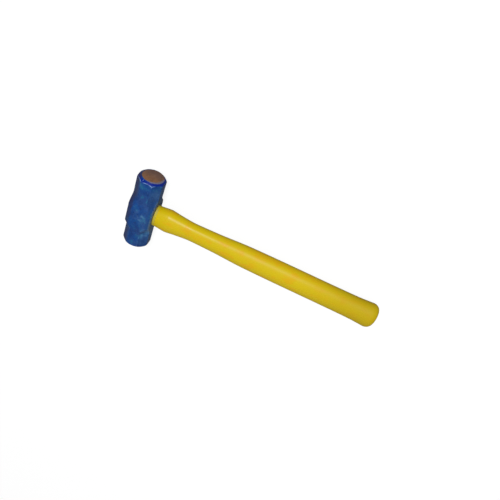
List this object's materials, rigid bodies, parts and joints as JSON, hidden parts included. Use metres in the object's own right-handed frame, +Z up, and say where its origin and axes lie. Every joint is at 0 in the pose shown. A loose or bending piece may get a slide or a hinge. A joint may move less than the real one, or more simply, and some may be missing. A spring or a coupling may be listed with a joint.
{
  "type": "sledge hammer",
  "caption": "Short double-faced sledge hammer for tyre bead work: octagonal blue enamelled steel head with bare faces on a yellow moulded handle.",
  "frame": {"origin": "middle of the base of the bounding box, on the surface that the hammer lies on", "axes": "+X runs along the handle from the head towards the butt, +Y is the striking axis, +Z is up through the cheeks"},
  "size_m": [0.4086, 0.1276, 0.0497],
  "materials": {
    "head_enamel": "satin",
    "jacket": "gloss",
    "core": "matte",
    "epoxy": "satin",
    "seal": "satin"
  },
  "bodies": {
    "root": {"hammer_head": "head_enamel", "handle_jacket": "jacket", "handle_core": "core", "eye_epoxy": "epoxy", "eye_seal_ring": "seal"}
  },
  "joints": []
}
